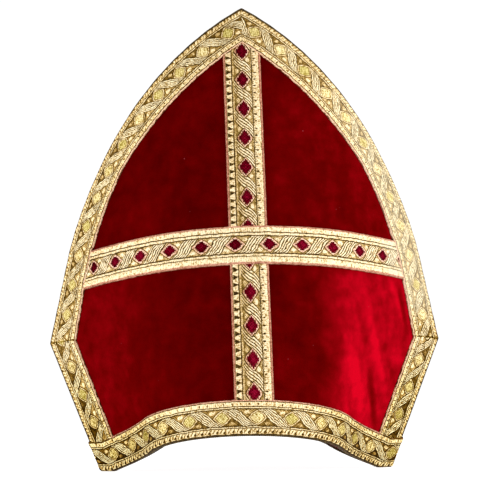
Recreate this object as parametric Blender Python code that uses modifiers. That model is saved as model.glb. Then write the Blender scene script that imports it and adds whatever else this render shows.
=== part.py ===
"""A bishop mitre: two stiffened velvet panels, a cloth gusset between them, and braid bands sewn on.

Metres, +Z up, the front faces -Y. The origin is on the floor, at the middle of the hat.

The front panel is worked out as a depth in front of the hat's middle plane, for each place (x, z) that is
seen from the front. The back panel is the same, turned half round. Each level section of a panel is a round
nose, and on each side of it a flare that curves the other way, tangent to the nose, out to the panel's edge.
"""

import math

import bmesh
import bpy

# ---- driving dimensions ----
RIM_HALF_WIDTH = 0.1045
RIM_DEPTH = 0.0905  # from the middle plane to the front of the rim
RIM_RISE = 0.0255  # how much higher the rim is at front and back than at the sides
RIM_CURVE = 0.8  # the power with which the rim rises from its feet: less than 1 is steeper at first
FOOT_DEPTH = 0.008  # the rim is level, and rests, up to this far from the middle plane
CORNER_HALF_WIDTH = 0.142  # the side corners, where the seams end and the free edges start
CORNER_HEIGHT = 0.0925
SHOULDER_HALF_WIDTH = 0.128  # where the straight start of a free edge turns into its arc
SHOULDER_HEIGHT = 0.155
PEAK_HEIGHT = 0.326
ARC_RADIUS = 0.274  # of the free edge, from the shoulder to the peak
LEAN = 0.11  # how far a panel leans in for each unit of height
RIM_NOSE_RADIUS = 0.0645
CROWN_RADIUS = 0.14
CROWN_START = 0.26  # the height from which a panel is a plain leaning cylinder
FLARE_RADIUS = 0.087  # of the flares beside the nose, at the rim
FLARE_HEIGHT = 0.127  # the flares straighten up to this height
LEAST_FLARE = 0.001  # the share of their curvature that they keep above it
LEAST_PARTING = 0.138  # how fast the free edges part above the side corners, at least
EDGE_BLEND = 0.008  # how near that and the crown's cylinder are in depth where one eases into the other

WALL = 0.0025
SEAM_DEPTH = 0.0026  # from the middle plane to the outer face of a panel, at its seam
BRAID_THICKNESS = 0.0009
BRAID_LIFT = 0.0006  # between a panel and the braid on it
JOIN_GAP = 0.0006  # between the ends of two braids that meet

GOLD_BRAID_WIDTH = 0.0226
CENTRE_BAND_WIDTH = 0.0265
CROSS_BAND_WIDTH = 0.0272
EDGE_MARGIN = 0.0006  # of panel left bare outside the braid
CROSS_HEIGHT = 0.1528  # of the cross band's middle, at the front of the panel
CROSS_DROP = 0.127  # how far the cross band falls, for each unit that the crown's curve goes back
CROSS_TURN = math.radians(1.2)  # the cross of bands is sewn on a little crooked, anticlockwise
CENTRE_SHIFT = 0.0024  # of the centre band to the right, at the cross
MITRE_RISE = math.radians(4)  # of the side corner's mitre, going in
MITRE_RUN = 0.16  # the share of a braid, at each end, over which its cross lines turn into the mitre

GUSSET_THICKNESS = 0.0012
GUSSET_HALF_LENGTH = 0.132
GUSSET_END_HEIGHT = 0.099
GUSSET_VALLEY_RISE = 0.036  # from its ends to the middle of its valley
GUSSET_SIDE_RISE = 0.058  # from the valley up to the panels, at the middle
GUSSET_END_SIDE_RISE = 0.006
GUSSET_CLEARANCE = 0.0004

# ---- fineness ----
PANEL_COLUMNS = 26
FOOT_COLUMNS = 3  # of those, on each foot
PEAK_BLUNTNESS = 0.0012  # half the width of a panel's very top
SEAM_ROWS = 8
EDGE_ROWS = 18
GUSSET_COLUMNS = 22
GUSSET_ROWS = 10
RAIL_STEPS = 160  # of the curves that braids are measured on
STEP = 1e-5  # for slopes
SHARE_STEP = 0.004  # for an edge's direction
INSIDE = 0.98  # the share of the way to the seam at which the rim band's slope is taken

COLOURS = {
    "velvet": (0.19, 0.004, 0.012),
    "lining": (0.13, 0.006, 0.010),
    "gold_braid": (0.56, 0.41, 0.17),
    "ruby_braid": (0.60, 0.42, 0.19),
}
ROUGHNESS = {"velvet": 0.85, "lining": 0.7, "gold_braid": 0.42, "ruby_braid": 0.42}
METALLIC = {"velvet": 0.0, "lining": 0.0, "gold_braid": 0.75, "ruby_braid": 0.7}


# ---- the panel's form ----
def edge_arc():
    """Centre of the free edge's arc, through the shoulder and the peak."""
    across = SHOULDER_HALF_WIDTH
    up = PEAK_HEIGHT - SHOULDER_HEIGHT
    chord = math.hypot(across, up)
    to_centre = math.sqrt(ARC_RADIUS**2 - chord**2 / 4)
    centre_x = across / 2 - to_centre * up / chord
    centre_z = (SHOULDER_HEIGHT + PEAK_HEIGHT) / 2 - to_centre * across / chord
    return centre_x, centre_z


ARC_X, ARC_Z = edge_arc()


def half_width(z):
    """Half the width of a panel at a height."""
    if z < CORNER_HEIGHT:
        return RIM_HALF_WIDTH + (CORNER_HALF_WIDTH - RIM_HALF_WIDTH) * z / CORNER_HEIGHT
    if z < SHOULDER_HEIGHT:
        share = (z - CORNER_HEIGHT) / (SHOULDER_HEIGHT - CORNER_HEIGHT)
        return CORNER_HALF_WIDTH + (SHOULDER_HALF_WIDTH - CORNER_HALF_WIDTH) * share
    across = ARC_RADIUS**2 - (z - ARC_Z) ** 2
    return max(ARC_X + math.sqrt(max(across, 0.0)), 0.0)


def centre_depth(z):
    return RIM_DEPTH - LEAN * (z - RIM_RISE)


def nose_radius(z):
    share = min(z / CROWN_START, 1.0)
    return RIM_NOSE_RADIUS + (CROWN_RADIUS - RIM_NOSE_RADIUS) * math.sin(share * math.pi / 2)


def edge_depth(z):
    """Depth of a panel's outer face at its edge: the seam's below the side corner, and more above it."""
    if z < CORNER_HEIGHT:
        return SEAM_DEPTH
    across = CROWN_RADIUS**2 - half_width(z) ** 2
    cylinder = centre_depth(z) - CROWN_RADIUS + math.sqrt(max(across, 0.0))
    parted = SEAM_DEPTH + LEAST_PARTING * (z - CORNER_HEIGHT)
    near = max(EDGE_BLEND - abs(cylinder - parted), 0.0)
    return max(cylinder, parted) + near**2 / (4 * EDGE_BLEND)


def section(z):
    """A level section of a panel: its front's depth, its nose's radius, and its flare's radius and centre."""
    front = centre_depth(z)
    width = half_width(z)
    fall = front - edge_depth(z)
    nose = min(nose_radius(z), (width**2 + fall**2) / (2 * fall))
    flare = FLARE_RADIUS / max(1 - z / FLARE_HEIGHT, LEAST_FLARE)
    # The flare's centre lies one radius from the edge, and both radii from the nose's centre.
    to_edge = math.hypot(width, nose - fall)
    along = ((nose + flare) ** 2 - flare**2 + to_edge**2) / (2 * to_edge)
    aside = math.sqrt(max((nose + flare) ** 2 - along**2, 0.0))
    flare_x = (along * width - aside * (nose - fall)) / to_edge
    flare_depth = front - nose + (along * (nose - fall) + aside * width) / to_edge
    return front, nose, flare, flare_x, flare_depth


def panel_depth(x, z):
    """Depth of a panel's outer face in front of the middle plane."""
    across = abs(x)
    if z >= CROWN_START:
        return centre_depth(z) - CROWN_RADIUS + math.sqrt(CROWN_RADIUS**2 - across**2)
    front, nose, flare, flare_x, flare_depth = section(z)
    if across <= nose * flare_x / (nose + flare):
        return front - nose + math.sqrt(nose**2 - across**2)
    return flare_depth - math.sqrt(flare**2 - (across - flare_x) ** 2)


def slopes(x, z):
    along_x = (panel_depth(x + STEP, z) - panel_depth(x - STEP, z)) / (2 * STEP)
    along_z = (panel_depth(x, z + STEP) - panel_depth(x, z - STEP)) / (2 * STEP)
    return along_x, along_z


def on_panel(x, z, lift=0.0):
    """The point of the front panel's outer face at (x, z), lifted off it along its normal."""
    along_x, along_z = slopes(x, z)
    size = math.sqrt(1 + along_x**2 + along_z**2)
    out = (-along_x / size, -1 / size, -along_z / size)
    depth = panel_depth(x, z)
    return x + out[0] * lift, -depth + out[1] * lift, z + out[2] * lift


def inner_depth(x, z):
    along_x, along_z = slopes(x, z)
    return panel_depth(x, z) - WALL * math.sqrt(1 + along_x**2 + along_z**2)


def rim_height(x):
    """Height of the rim: level at the feet, and an arch between them."""
    height = 0.0
    for _ in range(12):
        share = (panel_depth(x, height) - FOOT_DEPTH) / (RIM_DEPTH - FOOT_DEPTH)
        height = RIM_RISE * min(max(share, 0.0), 1.0) ** RIM_CURVE
    return height


# ---- the curves that the braids follow, as (x, z) on the right half ----
def free_edge(share):
    """From the side corner (0) to the peak (1), even along its length."""
    straight = math.hypot(CORNER_HALF_WIDTH - SHOULDER_HALF_WIDTH, SHOULDER_HEIGHT - CORNER_HEIGHT)
    start = math.atan2(SHOULDER_HEIGHT - ARC_Z, SHOULDER_HALF_WIDTH - ARC_X)
    end = math.atan2(PEAK_HEIGHT - ARC_Z, -ARC_X)
    bent = ARC_RADIUS * (end - start)
    run = share * (straight + bent)
    if run < straight:
        part = run / straight
        x = CORNER_HALF_WIDTH + (SHOULDER_HALF_WIDTH - CORNER_HALF_WIDTH) * part
        return x, CORNER_HEIGHT + (SHOULDER_HEIGHT - CORNER_HEIGHT) * part
    angle = start + (run - straight) / ARC_RADIUS
    return ARC_X + ARC_RADIUS * math.cos(angle), ARC_Z + ARC_RADIUS * math.sin(angle)


def side_seam(share):
    """From the rim (0) to the side corner (1)."""
    x = RIM_HALF_WIDTH + (CORNER_HALF_WIDTH - RIM_HALF_WIDTH) * share
    return x, CORNER_HEIGHT * share


def offset(edge, share, width):
    """The point of an edge, moved in over the panel by a width measured on the panel."""
    x, z = edge(share)
    before = edge(max(share - SHARE_STEP, 0.0))
    after = edge(min(share + SHARE_STEP, 1.0))
    run_x = after[0] - before[0]
    run_z = after[1] - before[1]
    run = math.hypot(run_x, run_z)
    in_x = -run_z / run
    in_z = run_x / run
    middle_x = x + in_x * width / 2
    middle_z = z + in_z * width / 2
    along_x, along_z = slopes(middle_x, middle_z)
    across = math.sqrt(1 + (along_x * in_x + along_z * in_z) ** 2)
    return x + in_x * width / across, z + in_z * width / across


def first_share(edge, width, passed):
    """The first share of an edge at which its offset point passes a test."""
    for step in range(RAIL_STEPS + 1):
        share = step / RAIL_STEPS
        if passed(*offset(edge, share, width)):
            break
    low, high = max(share - 1 / RAIL_STEPS, 0.0), share
    for _ in range(20):
        middle = (low + high) / 2
        if passed(*offset(edge, middle, width)):
            high = middle
        else:
            low = middle
    return high


BRAID_REACH = GOLD_BRAID_WIDTH + EDGE_MARGIN


def mitre_height(x):
    return CORNER_HEIGHT + (CORNER_HALF_WIDTH - x) * math.tan(MITRE_RISE)


def rim_band_line(share, z):
    """The x, at a height, of the line up the rim band from a share of the rim's half width."""
    height = z - rim_height(share * RIM_HALF_WIDTH)
    return share * (RIM_HALF_WIDTH + (CORNER_HALF_WIDTH - RIM_HALF_WIDTH) * height / CORNER_HEIGHT)


def rim_band_edges(share):
    """Heights of the rim band's lower and upper edges, at a share of the rim's half width."""
    bottom = rim_height(share * RIM_HALF_WIDTH) + EDGE_MARGIN
    middle = bottom + GOLD_BRAID_WIDTH / 2
    low_x = rim_band_line(share * INSIDE, middle - STEP)
    high_x = rim_band_line(share * INSIDE, middle + STEP)
    out = (high_x - low_x) / (2 * STEP)
    forward = (panel_depth(high_x, middle + STEP) - panel_depth(low_x, middle - STEP)) / (2 * STEP)
    return bottom, bottom + GOLD_BRAID_WIDTH / math.sqrt(1 + out**2 + forward**2)


def over_rim_band(x, z):
    """How far a place on the panel lies above the rim band."""
    share = 1.0
    for _ in range(6):
        share = min(abs(x) / rim_band_line(share, z) * share, 1.0)
    return z - rim_band_edges(share)[1]


def inner_half_width(z):
    """Half the width between the braids of the two free edges."""
    share = first_share(free_edge, BRAID_REACH + JOIN_GAP, lambda x, height: height > z or x < 0)
    return max(offset(free_edge, share, BRAID_REACH + JOIN_GAP)[0], 0.0)


def under_inner_edge(x):
    """Height at which an upright line meets the inner edge of the free edge's braid."""
    share = first_share(free_edge, BRAID_REACH + JOIN_GAP, lambda across, z: across < abs(x))
    return offset(free_edge, share, BRAID_REACH + JOIN_GAP)[1]


def cross_line(x, side):
    """Height of a line along the cross band: side -1 is its lower edge, 1 its upper edge."""
    fall = CROWN_RADIUS - math.sqrt(CROWN_RADIUS**2 - x**2)
    half = CROSS_BAND_WIDTH / 2 / math.sqrt(1 + LEAN**2)
    return CROSS_HEIGHT + x * math.tan(CROSS_TURN) - CROSS_DROP * fall + side * half


# ---- making the solids ----
def material(kind):
    made = bpy.data.materials.get(kind)
    if made:
        return made
    made = bpy.data.materials.new(kind)
    made.use_nodes = True
    shader = made.node_tree.nodes["Principled BSDF"]
    shader.inputs["Base Color"].default_value = (*COLOURS[kind], 1.0)
    shader.inputs["Roughness"].default_value = ROUGHNESS[kind]
    shader.inputs["Metallic"].default_value = METALLIC[kind]
    return made


def grid_object(name, columns, rows, place, kind, collection):
    """A grid whose points go where place(u, v) says, u and v from 0 to 1."""
    mesh = bpy.data.meshes.new(name)
    shape = bmesh.new()
    bmesh.ops.create_grid(shape, x_segments=columns, y_segments=rows, size=0.5)
    for vertex in shape.verts:
        vertex.co = place(vertex.co.x + 0.5, vertex.co.y + 0.5)
    shape.to_mesh(mesh)
    shape.free()
    made = bpy.data.objects.new(name, mesh)
    made.data.materials.append(material(kind))
    collection.objects.link(made)
    return made


def thicken(made, thickness, offset_side):
    """Makes a sheet solid. An offset_side of -1 keeps the given face outside, and 1 inside."""
    solidify = made.modifiers.new("thickness", "SOLIDIFY")
    solidify.thickness = thickness
    solidify.offset = offset_side
    solidify.use_even_offset = False
    evaluated = made.evaluated_get(bpy.context.evaluated_depsgraph_get())
    mesh = bpy.data.meshes.new_from_object(evaluated)
    made.modifiers.clear()
    made.data = mesh
    mesh.name = made.name
    mesh.shade_smooth()
    mesh.set_sharp_from_angle(angle=math.radians(40))


def turned_copy(source, name, collection):
    """The same piece on the back: turned half round the hat's upright axis."""
    mesh = source.data.copy()
    made = bpy.data.objects.new(name, mesh)
    for vertex in mesh.vertices:
        vertex.co.x = -vertex.co.x
        vertex.co.y = -vertex.co.y
    collection.objects.link(made)
    return made


def panel_row_share(v):
    """Rows of a panel: the first ones along the seam, the others along the free edge."""
    row = v * (SEAM_ROWS + EDGE_ROWS)
    if row <= SEAM_ROWS:
        return side_seam(row / SEAM_ROWS)
    return free_edge((row - SEAM_ROWS) / EDGE_ROWS)


def foot_share():
    """The share of the rim's half width at which a foot starts."""
    _, _, flare, flare_x, flare_depth = section(0.0)
    return (flare_x - math.sqrt(flare**2 - (flare_depth - FOOT_DEPTH) ** 2)) / RIM_HALF_WIDTH


def panel_column(u):
    """Where a column of a panel lies, -1 to 1: some columns are kept for the feet."""
    column = (2 * u - 1) * PANEL_COLUMNS / 2
    inner = PANEL_COLUMNS / 2 - FOOT_COLUMNS
    foot = foot_share()
    if abs(column) <= inner:
        return foot * column / inner
    outer = foot + (1 - foot) * (abs(column) - inner) / FOOT_COLUMNS
    return math.copysign(outer, column)


def make_panel(collection):
    def place(u, v):
        edge_x, edge_z = panel_row_share(v)
        share = panel_column(u)
        x = share * max(edge_x, PEAK_BLUNTNESS)
        rise = rim_height(share * RIM_HALF_WIDTH) * (1 - edge_z / PEAK_HEIGHT)
        return on_panel(x, min(edge_z + rise, PEAK_HEIGHT))

    panel = grid_object("front_panel", PANEL_COLUMNS, SEAM_ROWS + EDGE_ROWS, place, "velvet", collection)
    count = len(panel.data.vertices)
    thicken(panel, WALL, -1)
    # The bottom row's inner points come level with its outer ones, so that the hat rests on flat feet.
    vertices = panel.data.vertices
    for index in range(PANEL_COLUMNS + 1):
        vertices[count + index].co.z = vertices[index].co.z
    return panel


def make_gusset(collection):
    def place(u, v):
        along = 2 * u - 1
        across = 2 * v - 1
        x = along * GUSSET_HALF_LENGTH
        fullness = 1 - along**2
        valley = GUSSET_END_HEIGHT + GUSSET_VALLEY_RISE * fullness
        rise = GUSSET_END_SIDE_RISE + (GUSSET_SIDE_RISE - GUSSET_END_SIDE_RISE) * fullness
        z = valley + rise * across**2
        reach = inner_depth(x, z) - GUSSET_CLEARANCE - GUSSET_THICKNESS
        return x, across * reach, z

    gusset = grid_object("crown_gusset", GUSSET_COLUMNS, GUSSET_ROWS, place, "lining", collection)
    thicken(gusset, GUSSET_THICKNESS, -1)
    return gusset


def make_braid(name, columns, rows, point, kind, collection):
    """A braid over the grid of point(u, v), which gives (x, z). Thickened away from the panel."""

    def place(u, v):
        return on_panel(*point(u, v), lift=BRAID_LIFT)

    braid = grid_object(name, columns, rows, place, kind, collection)
    thicken(braid, BRAID_THICKNESS, 1)
    return braid


def rim_band_point(u, v):
    share = (2 * u - 1) * (1 - EDGE_MARGIN / RIM_HALF_WIDTH)
    bottom, top = rim_band_edges(share)
    z = bottom + (top - bottom) * v
    return rim_band_line(share, z), z


def cross_band_end(side, line):
    """The x of the cross band's left (-1) or right (1) end, on one of its lines."""
    reach = side * inner_half_width(CROSS_HEIGHT)
    for _ in range(3):
        reach = side * inner_half_width(cross_line(reach, line))
    return reach


def cross_band_point(u, v):
    line = 2 * v - 1
    left = cross_band_end(-1, line)
    x = left + (cross_band_end(1, line) - left) * u
    return x, cross_line(x, line)


def centre_band_x(u, z):
    """The centre band leans as the cross of bands is turned."""
    return CENTRE_SHIFT + (2 * u - 1) * CENTRE_BAND_WIDTH / 2 - (z - CROSS_HEIGHT) * math.tan(CROSS_TURN)


def centre_lower_point(u, v):
    level = RIM_RISE + GOLD_BRAID_WIDTH
    bottom = level - over_rim_band(centre_band_x(u, level), level) + JOIN_GAP
    top = cross_line(centre_band_x(u, CROSS_HEIGHT), -1) - JOIN_GAP
    z = bottom + (top - bottom) * v
    return centre_band_x(u, z), z


def centre_upper_point(u, v):
    bottom = cross_line(centre_band_x(u, CROSS_HEIGHT), 1) + JOIN_GAP
    top = PEAK_HEIGHT
    for _ in range(4):
        top = under_inner_edge(centre_band_x(u, top)) - JOIN_GAP
    z = bottom + (top - bottom) * v
    return centre_band_x(u, z), z


def trimmed_rails(edge, start_test, end_test):
    """The shares of an edge at which a braid's outer and inner rails start and end."""
    rails = []
    for width in (EDGE_MARGIN, BRAID_REACH):
        rails.append((first_share(edge, width, start_test), first_share(edge, width, end_test)))
    return rails


def rail_share(rails, along, inward):
    """Square cross lines for most of a braid, that turn into its mitres near the ends."""
    (outer_start, outer_end), (inner_start, inner_end) = rails
    start_turn = (inner_start - outer_start) * inward * max(1 - along / MITRE_RUN, 0.0)
    end_turn = (inner_end - outer_end) * inward * max(1 - (1 - along) / MITRE_RUN, 0.0)
    return outer_start + (outer_end - outer_start) * along + start_turn + end_turn


def edge_braid_points(edge, rails, mirror):
    """Points of the braid along an edge: u from left to right as seen from the front, v up the edge."""

    def point(u, v):
        inward = u if mirror < 0 else 1 - u
        x, z = offset(edge, rail_share(rails, v, inward), EDGE_MARGIN + GOLD_BRAID_WIDTH * inward)
        return mirror * x, z

    return point


def make_front_braids(collection):
    edge_rails = trimmed_rails(
        free_edge,
        lambda x, z: z > mitre_height(x) + JOIN_GAP / 2,
        lambda x, z: x < JOIN_GAP / 2,
    )
    side_rails = trimmed_rails(
        side_seam,
        lambda x, z: over_rim_band(x, z) > JOIN_GAP,
        lambda x, z: z > mitre_height(x) - JOIN_GAP / 2,
    )
    braids = [
        make_braid("front_rim_band", 28, 2, rim_band_point, "gold_braid", collection),
        make_braid("front_cross_band", 22, 2, cross_band_point, "ruby_braid", collection),
        make_braid("front_centre_band_upper", 4, 9, centre_upper_point, "ruby_braid", collection),
        make_braid("front_centre_band_lower", 4, 6, centre_lower_point, "ruby_braid", collection),
    ]
    for side, mirror in (("left", -1), ("right", 1)):
        edge_point = edge_braid_points(free_edge, edge_rails, mirror)
        side_point = edge_braid_points(side_seam, side_rails, mirror)
        braids.append(make_braid(f"front_edge_braid_{side}", 2, 26, edge_point, "gold_braid", collection))
        braids.append(make_braid(f"front_side_braid_{side}", 2, 8, side_point, "gold_braid", collection))
    return braids


def clear_scene():
    for old in list(bpy.data.objects):
        bpy.data.objects.remove(old)


def main():
    clear_scene()
    collection = bpy.data.collections.new("bishop_mitre")
    bpy.context.scene.collection.children.link(collection)
    front = [make_panel(collection)] + make_front_braids(collection)
    for piece in front:
        turned_copy(piece, piece.name.replace("front_", "back_"), collection)
    make_gusset(collection)


main()
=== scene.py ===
"""The looks of the bishop mitre: its velvet, its raised braids, its gusset and its edge binding.

Metres, +Z up, the front faces -Y. A braid's pattern is worked out in millimetres: `along` the braid, and
`across` it from its outer, left or upper edge. The same pattern functions raise the mesh (on arrays) and
colour it (on shader sockets).
"""

import math
from dataclasses import dataclass, replace

import bmesh
import bpy
import numpy as np
from mathutils import Matrix, Vector

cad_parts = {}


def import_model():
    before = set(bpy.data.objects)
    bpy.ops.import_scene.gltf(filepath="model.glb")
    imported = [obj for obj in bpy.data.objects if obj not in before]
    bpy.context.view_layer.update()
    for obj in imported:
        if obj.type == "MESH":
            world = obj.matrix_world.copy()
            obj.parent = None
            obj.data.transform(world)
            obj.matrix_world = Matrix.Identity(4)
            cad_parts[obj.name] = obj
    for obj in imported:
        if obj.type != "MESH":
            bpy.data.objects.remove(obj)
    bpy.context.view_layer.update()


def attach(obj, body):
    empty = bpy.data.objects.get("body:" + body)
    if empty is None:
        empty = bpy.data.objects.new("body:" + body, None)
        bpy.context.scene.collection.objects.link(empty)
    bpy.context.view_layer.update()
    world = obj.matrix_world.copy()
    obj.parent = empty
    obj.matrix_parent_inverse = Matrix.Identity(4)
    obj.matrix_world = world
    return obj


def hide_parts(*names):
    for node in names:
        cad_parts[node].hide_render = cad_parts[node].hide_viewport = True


MM = 0.001

# ---- the hat's driving dimensions, as in the part's source ----
RIM_HALF_WIDTH = 0.1045
RIM_DEPTH = 0.0905
RIM_RISE = 0.0255
RIM_CURVE = 0.8
FOOT_DEPTH = 0.008
CORNER_HALF_WIDTH = 0.142
CORNER_HEIGHT = 0.0925
SHOULDER_HALF_WIDTH = 0.128
SHOULDER_HEIGHT = 0.155
PEAK_HEIGHT = 0.326
ARC_RADIUS = 0.274
LEAN = 0.11
RIM_NOSE_RADIUS = 0.0645
CROWN_RADIUS = 0.14
CROWN_START = 0.26
FLARE_RADIUS = 0.087
FLARE_HEIGHT = 0.127
LEAST_FLARE = 0.001
LEAST_PARTING = 0.138
EDGE_BLEND = 0.008
WALL = 0.0025
SEAM_DEPTH = 0.0026
EDGE_MARGIN = 0.0006
GOLD_BRAID_WIDTH = 0.0226
CENTRE_BAND_WIDTH = 0.0265
CROSS_BAND_WIDTH = 0.0272
CROSS_HEIGHT = 0.1528
CROSS_DROP = 0.127
CROSS_TURN = math.radians(1.2)
CENTRE_SHIFT = 0.0024
MITRE_RISE = math.radians(4)
MITRE_RUN = 0.16
GUSSET_HALF_LENGTH = 0.132
GUSSET_END_HEIGHT = 0.099
GUSSET_VALLEY_RISE = 0.036
GUSSET_SIDE_RISE = 0.058
GUSSET_END_SIDE_RISE = 0.006

# ---- what the looks add ----
BRAID_LIFT = 0.0005  # between the velvet and the braid on it
BRAID_BODY = 0.0009
OVERLAP = 0.0015  # how far a braid runs under the one that covers its end
RIDE = 0.0007  # how much higher a braid lies where it covers another
STEP = 1e-5  # for slopes
SHARE_STEP = 0.004  # for an edge's direction
INSIDE = 0.98  # the share of the way to the seam at which the rim band's slope is taken
SHARES = np.linspace(0.0, 1.0, 801)

# ---- the camera ----
CAMERA_PLACE = (-0.0123, -0.9130, 0.0375)
CAMERA_TURN = math.radians(1.069)  # to the right
CAMERA_PITCH = math.radians(7.636)  # up
CAMERA_ROLL = math.radians(-0.797)
FOCAL_LENGTH = 89.5
SENSOR = 36.0


# ======== arithmetic that works on arrays and on shader sockets ========
def calculate(operation, *values):
    tree = next(value.tree for value in values if isinstance(value, Signal))
    node = tree.nodes.new("ShaderNodeMath")
    node.operation = operation
    for value, socket in zip(values, node.inputs):
        feed(tree, value, socket)
    return Signal(tree, node.outputs[0])


def operator(operation, turned=False):
    def work_out(self, other):
        return calculate(operation, *((other, self) if turned else (self, other)))
    return work_out


@dataclass
class Signal:
    """A number that a shader works out. Its arithmetic adds math nodes to the shader's node tree."""

    tree: object
    socket: object

    __add__ = __radd__ = operator("ADD")
    __mul__ = __rmul__ = operator("MULTIPLY")
    __sub__ = operator("SUBTRACT")
    __rsub__ = operator("SUBTRACT", turned=True)
    __truediv__ = operator("DIVIDE")


def feed(tree, value, socket):
    """Links a signal or an output to a socket, or sets the socket's own value. A colour has three parts."""
    if isinstance(value, Signal):
        value = value.socket
    if isinstance(value, bpy.types.NodeSocket):
        tree.links.new(value, socket)
    elif isinstance(value, tuple) and socket.type == "RGBA":
        socket.default_value = (*value, 1.0)
    else:
        socket.default_value = value


def set_inputs(tree, node, values):
    """Feeds each value to the node's input of that name or number."""
    for name, value in values.items():
        feed(tree, value, node.inputs[name])


def either(operation, on_arrays):
    """A function that works on arrays and, as a math node, on signals."""
    def work_out(*values):
        if any(isinstance(value, Signal) for value in values):
            return calculate(operation, *values)
        return on_arrays(*values)
    return work_out


absolute = either("ABSOLUTE", np.abs)
floor = either("FLOOR", np.floor)
cosine = either("COSINE", np.cos)
smaller = either("MINIMUM", np.minimum)
larger = either("MAXIMUM", np.maximum)


def ramp(x, low, high):
    """0 below low, 1 above high, and smooth between. It falls where low is above high."""
    if not isinstance(x, Signal):
        t = np.clip((x - low) / (high - low), 0.0, 1.0)
        return t * t * (3 - 2 * t)
    node = x.tree.nodes.new("ShaderNodeMapRange")
    node.interpolation_type = "SMOOTHSTEP"
    falls = low > high
    set_inputs(x.tree, node, {
        "Value": x, "From Min": min(low, high), "From Max": max(low, high),
        "To Min": float(falls), "To Max": float(not falls),
    })
    return Signal(x.tree, node.outputs["Result"])


def wrapped(x, period):
    """The distance to the nearest multiple of a period, with its sign."""
    return x - floor(x / period + 0.5) * period


def within(x, low, high, soft=0.12):
    return ramp(x, low - soft, low + soft) * ramp(x, high + soft, high - soft)


def mix(x, y, share):
    return x + (y - x) * share


# ======== the braids' patterns, in millimetres ========
@dataclass
class Layer:
    """What a place on a braid looks like: its height, how light its thread is, and how coloured."""

    height: object
    light: object
    ruby: object = 0.0
    yellow: object = 0.0
    pink: object = 0.0


@dataclass(frozen=True)
class Style:
    """The look of a braid. Lengths are in millimetres, and lights run from 0 to 1."""

    width: float
    period: float  # from a lozenge to the next
    field_middle: float
    field_half: float
    slant: float  # how far a bundle of strands runs along for each millimetre across
    curve: float  # how much more it slants at the field's edges
    bundle: float  # how long a bundle is, along
    strands: int
    filler: tuple  # its light on the near and the far side, the near side darker as painted shade, and how much lighter its dot is on each
    lozenge: tuple  # half its length, along and across
    ring: float  # the size of the ring round a lozenge, as a share of the lozenge's
    outline: float  # the light of the line round a ring
    grooves: tuple  # (place, width)
    selvedges: tuple  # their widths. A negative one is left out.
    selvedge_light: float
    selvedge_pink: float
    border_light: float
    steps: float = 0.0  # on the edge of a lozenge of ruby thread. A gold one has none.
    outer_stitches: float = 0.0  # how dark the gaps of a gold braid's outer border are
    painted_gem_rise: float = 0.0  # painted light: how much lighter the ruby thread is for each millimetre along
    gem_swing: float = 0.0  # how much ruby lozenges differ in light


GOLD = Style(
    width=22.6, period=22.9, field_middle=10.8, field_half=5.6,
    slant=-1.0, curve=0.35, bundle=9.4, strands=5, filler=(0.3, 0.5, 0.3, 0.4),
    lozenge=(5.1, 4.2), ring=1.17, outline=0.2,
    grooves=((0.1, 0.5), (4.0, 0.6), (5.2, 0.6), (16.6, 0.65), (17.9, 0.6), (21.3, 0.6)),
    selvedges=(-1.0, 1.0), selvedge_light=0.55, selvedge_pink=0.85, border_light=0.88, outer_stitches=0.5,
)
GOLD_EDGE = replace(
    GOLD, slant=-1.05, bundle=9.2, filler=(0.3, 0.52, 0.35, 0.35),
    grooves=((0.5, 1.1), (4.0, 0.5), (5.2, 0.45), *GOLD.grooves[3:]),
    selvedge_light=0.7, selvedge_pink=0.55, border_light=0.8, outer_stitches=0.25,
)
GOLD_SIDE = replace(GOLD_EDGE, bundle=7.8, strands=4, filler=(0.34, 0.62, 0.06, 0.35), border_light=0.87)
RUBY = Style(
    width=26.5, period=22.0, field_middle=13.3, field_half=5.9,
    slant=0.65, curve=0.6, bundle=9.0, strands=4, filler=(0.5, 0.52, 0.4, 0.4),
    lozenge=(5.8, 4.3), ring=1.22, outline=0.1,
    grooves=((1.7, 0.35), (5.9, 0.8), (19.7, 0.75), (24.9, 0.5)),
    selvedges=(1.5, 1.6), selvedge_light=0.3, selvedge_pink=0.85, border_light=0.85,
    steps=1.1, painted_gem_rise=0.001, gem_swing=0.02,
)
RUBY_CROSS = replace(
    RUBY, width=27.2, period=23.4, field_middle=13.4,
    slant=-0.5, bundle=9.9, strands=5, filler=(0.6, 0.6, 0.35, 0.35),
    lozenge=(5.4, 4.25), ring=1.25, outline=0.2,
    grooves=((4.95, 0.75), (7.3, 0.75), (19.6, 0.9), (21.7, 0.4)),
    selvedges=(1.6, 1.6), selvedge_light=0.38, border_light=0.87, painted_gem_rise=0.0004, gem_swing=0.12,
)
STYLES = {
    "gold": GOLD, "gold_edge": GOLD_EDGE, "gold_side": GOLD_SIDE, "ruby": RUBY, "ruby_cross": RUBY_CROSS,
}
THREAD = 1.3  # the spacing of the ribs across a border
FILLER_DOT = (6.5, 3.7)  # how far along and across from a lozenge's middle a filler's light dot lies
FILLER_DOT_REACH = (2.0, 1.25)
LOZENGE_CELLS = 1.9  # the spacing of the stitches in a lozenge
BORDER_REPEAT = 5.35  # the spacing of a border's notches and dots
GEM_TURN = 1.257  # radians from a ruby lozenge's light to the next one's
GEM_START = -2.89
PALE_TURN = 2.4  # the same for how pale the gold ones are
PALE_START = 0.6
# heights above a braid's ground, in millimetres
STRAND_HEIGHT = 0.42
DOT_HEIGHT = 0.22
OUTLINE_HEIGHT = 0.02
RING_HEIGHT = 0.4
GEM_HEIGHT = 0.32
GEM_STITCH = 0.12
PADDED_HEIGHT = 0.62  # the middle of a gold lozenge
PADDED_FALL = 0.35
BORDER_HEIGHT = 0.3
GROOVE_DEPTH = 0.28


def wave(x, spacing):
    return cosine(x * (2 * math.pi / spacing))


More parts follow.
